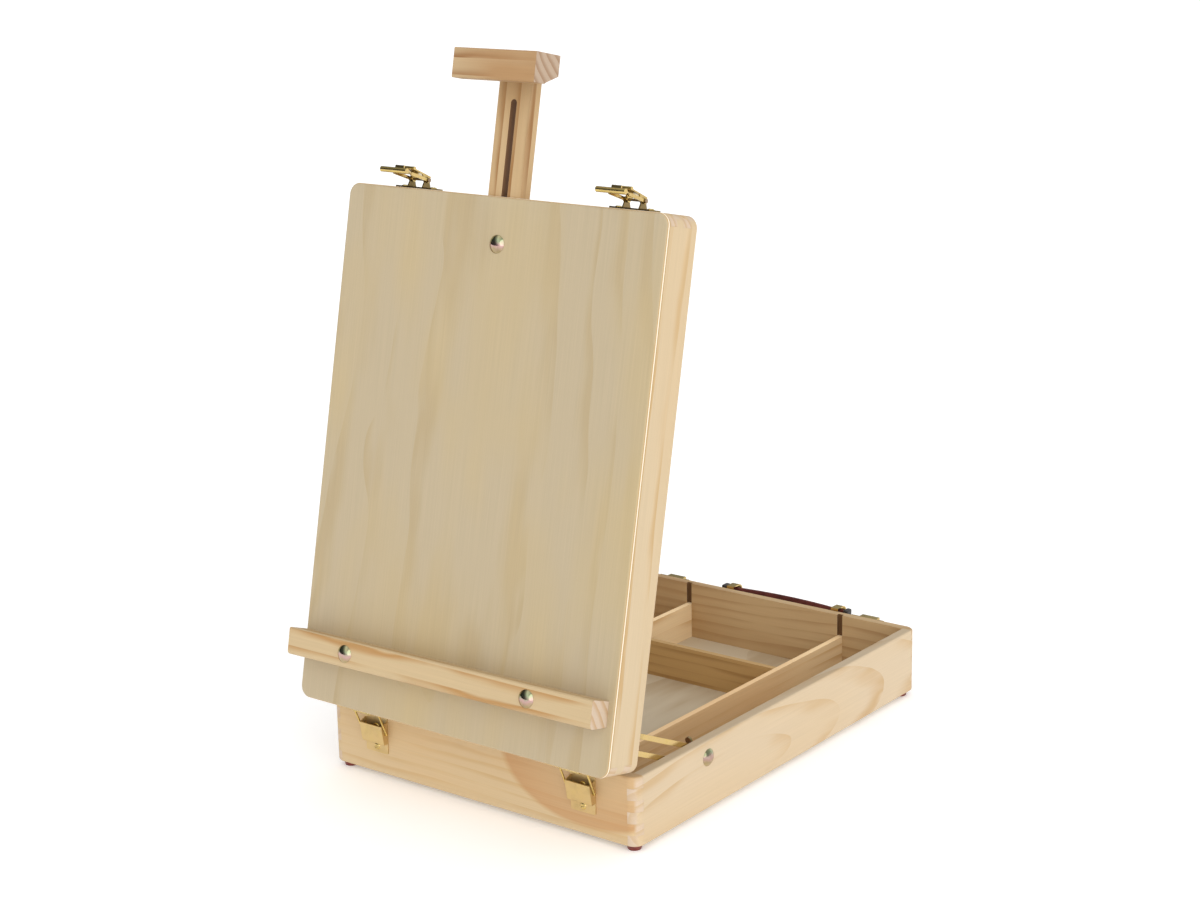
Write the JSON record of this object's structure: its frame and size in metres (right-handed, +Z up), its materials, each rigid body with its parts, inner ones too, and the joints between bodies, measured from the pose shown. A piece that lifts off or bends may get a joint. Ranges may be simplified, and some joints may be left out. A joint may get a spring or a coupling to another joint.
{
  "type": "tabletop box easel",
  "caption": "Hinged wooden sketch box that opens into a tabletop easel, with a canvas ledge, a sliding mast, slotted lid struts, drop latches and a carrying handle.",
  "frame": {"origin": "centre of the whole outline at the underside of the feet", "axes": "+X along the hinge side, +Y from the hinge side towards the handle side, +Z up"},
  "size_m": [0.3364, 0.508, 0.6241],
  "materials": {
    "end_wall_pine": "clear satin",
    "side_wall_pine": "clear satin",
    "plywood": "clear matt",
    "ledge_pine": "clear satin",
    "mast_pine": "clear satin",
    "foot_plastic": "smooth",
    "strap_leather": "smooth",
    "brass": "bright plated",
    "dark_brass": "dull plated"
  },
  "bodies": {
    "base": {"base_front_wall": "end_wall_pine", "base_rear_wall": "end_wall_pine", "base_left_wall": "side_wall_pine", "base_right_wall": "side_wall_pine", "base_floor": "plywood", "divider_left": "side_wall_pine", "divider_right": "side_wall_pine", "divider_cross": "side_wall_pine", "feet": "foot_plastic", "hinge_base_leaf_l": "brass", "hinge_base_leaf_r": "brass", "hinge_pins": "dark_brass", "hinge_base_screws": "brass", "clamp_bolt_l": "brass", "clamp_bolt_r": "brass", "clamp_washers": "brass", "strike_plate_l": "brass", "strike_plate_r": "brass", "strike_screws": "brass", "handle_loop_l": "brass", "handle_loop_r": "brass", "loop_screws": "brass"},
    "lid": {"lid_top_wall": "end_wall_pine", "lid_bottom_wall": "end_wall_pine", "lid_left_wall": "side_wall_pine", "lid_right_wall": "side_wall_pine", "lid_panel": "plywood", "hinge_lid_leaf_l": "brass", "hinge_lid_leaf_r": "brass", "hinge_lid_screws": "brass", "strut_pivot_screws": "brass", "canvas_ledge": "ledge_pine", "ledge_bolts": "brass", "ledge_washers": "brass", "ledge_nuts": "dark_brass", "mast_bolt": "brass", "mast_washer": "brass", "latch_base_l": "brass", "latch_base_r": "brass", "latch_base_screws": "brass", "latch_pins": "dark_brass"},
    "mast": {"mast": "mast_pine", "mast_head": "mast_pine"},
    "strut_l": {"strut_l": "brass"},
    "strut_r": {"strut_r": "brass"},
    "stay_l": {"hinge_stay_l": "brass"},
    "stay_r": {"hinge_stay_r": "brass"},
    "clamp_nut_l": {"clamp_wing_nut_l": "dark_brass"},
    "clamp_nut_r": {"clamp_wing_nut_r": "dark_brass"},
    "mast_nut": {"mast_wing_nut": "dark_brass"},
    "lever_l": {"latch_lever_l": "brass"},
    "lever_r": {"latch_lever_r": "brass"},
    "claw_l": {"latch_claw_l": "brass"},
    "claw_r": {"latch_claw_r": "brass"},
    "strap": {"handle_strap": "strap_leather"}
  },
  "joints": [
    {"name": "lid_hinge", "type": "hinge", "parent": "base", "child": "lid", "pos_m": [0, -0.20358, 0.0673], "axis": [1, 0, 0], "range_deg": [-77.96, 2]},
    {"name": "mast_slide", "type": "slide", "parent": "lid", "child": "mast", "axis": [0, 0.2079, 0.9781], "range_m": [-0.088, 0.24]},
    {"name": "strut_pivot_l", "type": "hinge", "parent": "lid", "child": "strut_l", "pos_m": [-0.15425, -0.22681, 0.09125], "axis": [1, 0, 0], "range_deg": [-1.67, 64.97]},
    {"name": "strut_pivot_r", "type": "hinge", "parent": "lid", "child": "strut_r", "pos_m": [0.15425, -0.22681, 0.09125], "axis": [1, 0, 0], "range_deg": [-1.67, 64.97]},
    {"name": "stay_pivot_l", "type": "hinge", "parent": "base", "child": "stay_l", "pos_m": [-0.112, -0.20549, 0.04392], "axis": [1, 0, 0], "range_deg": [-26.66, 0.68]},
    {"name": "stay_pivot_r", "type": "hinge", "parent": "base", "child": "stay_r", "pos_m": [0.112, -0.20549, 0.04392], "axis": [1, 0, 0], "range_deg": [-26.66, 0.68]},
    {"name": "clamp_nut_turn_l", "type": "hinge", "parent": "base", "child": "clamp_nut_l", "pos_m": [-0.1555, -0.10248, 0.05029], "axis": [1, 0, 0], "continuous": true},
    {"name": "clamp_nut_turn_r", "type": "hinge", "parent": "base", "child": "clamp_nut_r", "pos_m": [0.1555, -0.10248, 0.05029], "axis": [1, 0, 0], "continuous": true},
    {"name": "mast_nut_turn", "type": "hinge", "parent": "lid", "child": "mast_nut", "pos_m": [0, -0.13503, 0.46535], "axis": [0, -0.9781, 0.2079], "continuous": true},
    {"name": "latch_lever_turn_l", "type": "hinge", "parent": "lid", "child": "lever_l", "pos_m": [-0.112, -0.12057, 0.5093], "axis": [-1, 0, 0], "range_deg": [0, 95]},
    {"name": "latch_claw_turn_l", "type": "hinge", "parent": "lid", "child": "claw_l", "pos_m": [-0.112, -0.12057, 0.5093], "axis": [-1, 0, 0], "range_deg": [0, 171]},
    {"name": "latch_lever_turn_r", "type": "hinge", "parent": "lid", "child": "lever_r", "pos_m": [0.112, -0.12057, 0.5093], "axis": [-1, 0, 0], "range_deg": [0, 95]},
    {"name": "latch_claw_turn_r", "type": "hinge", "parent": "lid", "child": "claw_r", "pos_m": [0.112, -0.12057, 0.5093], "axis": [-1, 0, 0], "range_deg": [0, 171]},
    {"name": "handle_slide", "type": "slide", "parent": "base", "child": "strap", "axis": [1, 0, 0], "range_m": [-0.002, 0.002]}
  ],
  "couplings": [
    {"joint": "strut_pivot_l", "follows": "lid_hinge", "ratio": -0.8334},
    {"joint": "strut_pivot_r", "follows": "lid_hinge", "ratio": -0.8334},
    {"joint": "stay_pivot_l", "follows": "lid_hinge", "ratio": 0.342},
    {"joint": "stay_pivot_r", "follows": "lid_hinge", "ratio": 0.342}
  ]
}
